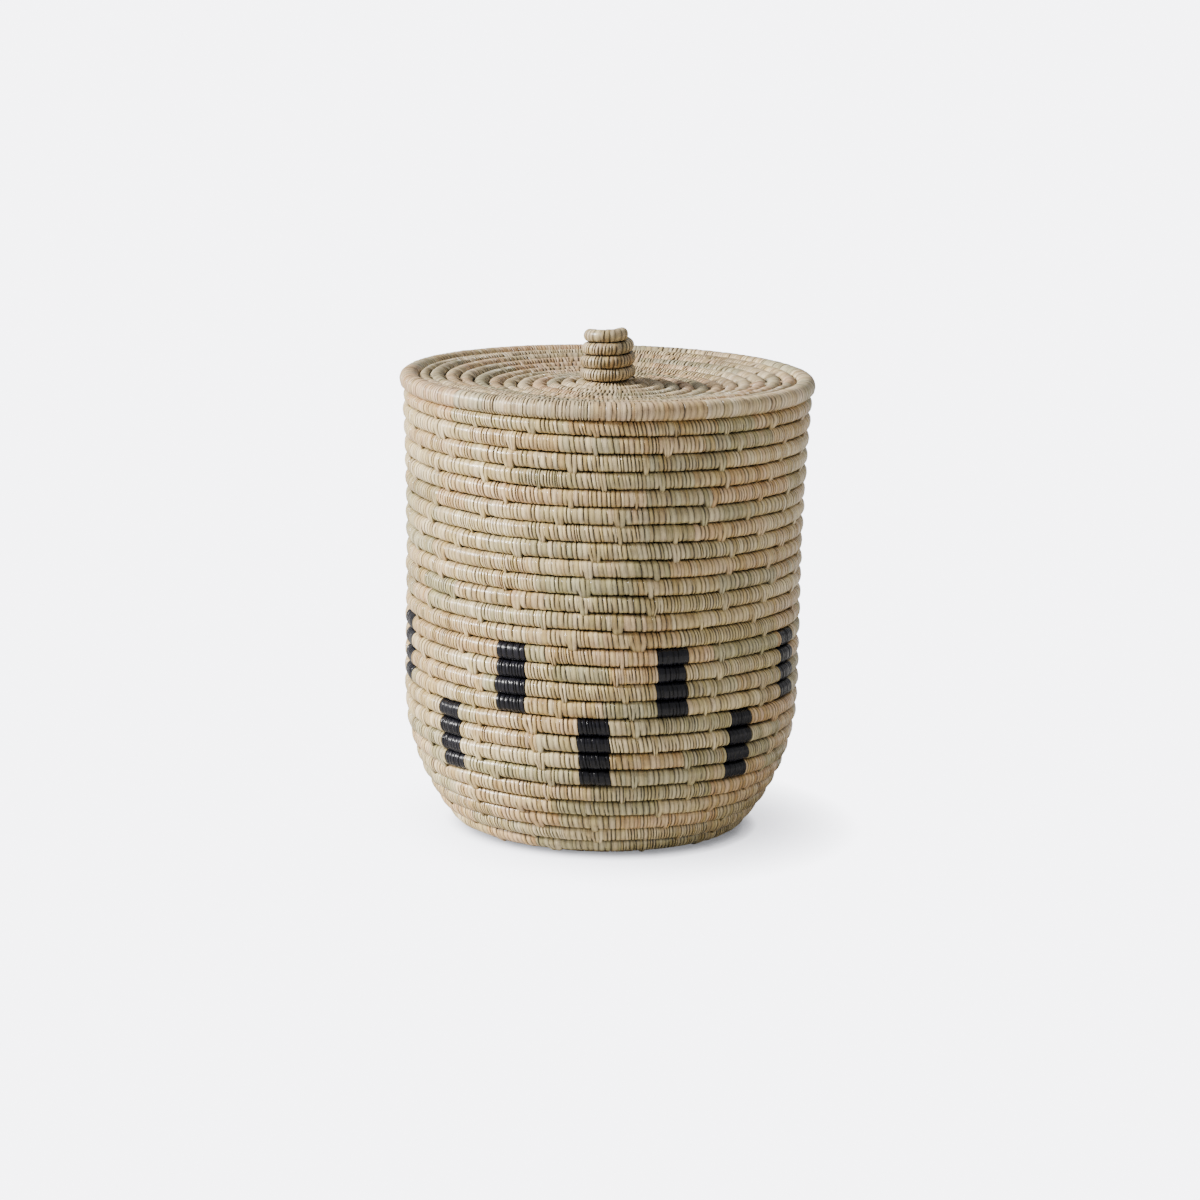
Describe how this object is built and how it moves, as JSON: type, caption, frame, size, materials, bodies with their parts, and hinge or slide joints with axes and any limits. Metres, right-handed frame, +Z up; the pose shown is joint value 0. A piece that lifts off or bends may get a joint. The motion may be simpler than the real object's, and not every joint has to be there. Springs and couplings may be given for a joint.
{
  "type": "lidded coiled basket",
  "caption": "Round upright basket sewn from a wrapped grass coil, with staggered dark marks round its lower wall and a flat coiled lid with a coiled knob that lifts off.",
  "frame": {"origin": "centre of the basket's base, on the surface that it stands on", "axes": "+Z up along the basket's axis, -Y towards the front, +X to the right as seen from the front"},
  "size_m": [0.2944, 0.2944, 0.3605],
  "materials": {
    "leaf_strip": "undyed palm leaf strip wrapped round a grass bundle, dry, faintly glossy",
    "dyed_strip": "leaf strip dyed blue-black, with a soft gloss",
    "lid_leaf_strip": "undyed palm leaf strip wrapped round a grass bundle, dry, faintly glossy"
  },
  "bodies": {
    "basket": {"base_coil": "leaf_strip", "wall_coil": "leaf_strip", "upper_dyed_mark_1": "dyed_strip", "upper_dyed_mark_2": "dyed_strip", "upper_dyed_mark_3": "dyed_strip", "upper_dyed_mark_4": "dyed_strip", "upper_dyed_mark_5": "dyed_strip", "upper_dyed_mark_6": "dyed_strip", "upper_dyed_mark_7": "dyed_strip", "lower_dyed_mark_1": "dyed_strip", "lower_dyed_mark_2": "dyed_strip", "lower_dyed_mark_3": "dyed_strip", "lower_dyed_mark_4": "dyed_strip", "lower_dyed_mark_5": "dyed_strip", "lower_dyed_mark_6": "dyed_strip", "lower_dyed_mark_7": "dyed_strip"},
    "lid": {"lid_disc_coil": "lid_leaf_strip", "lid_rim_coil": "lid_leaf_strip", "lid_lip_coil": "lid_leaf_strip", "knob_coil": "lid_leaf_strip"}
  },
  "joints": [
    {"name": "lid_lift", "type": "slide", "parent": "basket", "child": "lid", "axis": [0, 0, 1], "range_m": [0, 0.2]}
  ]
}
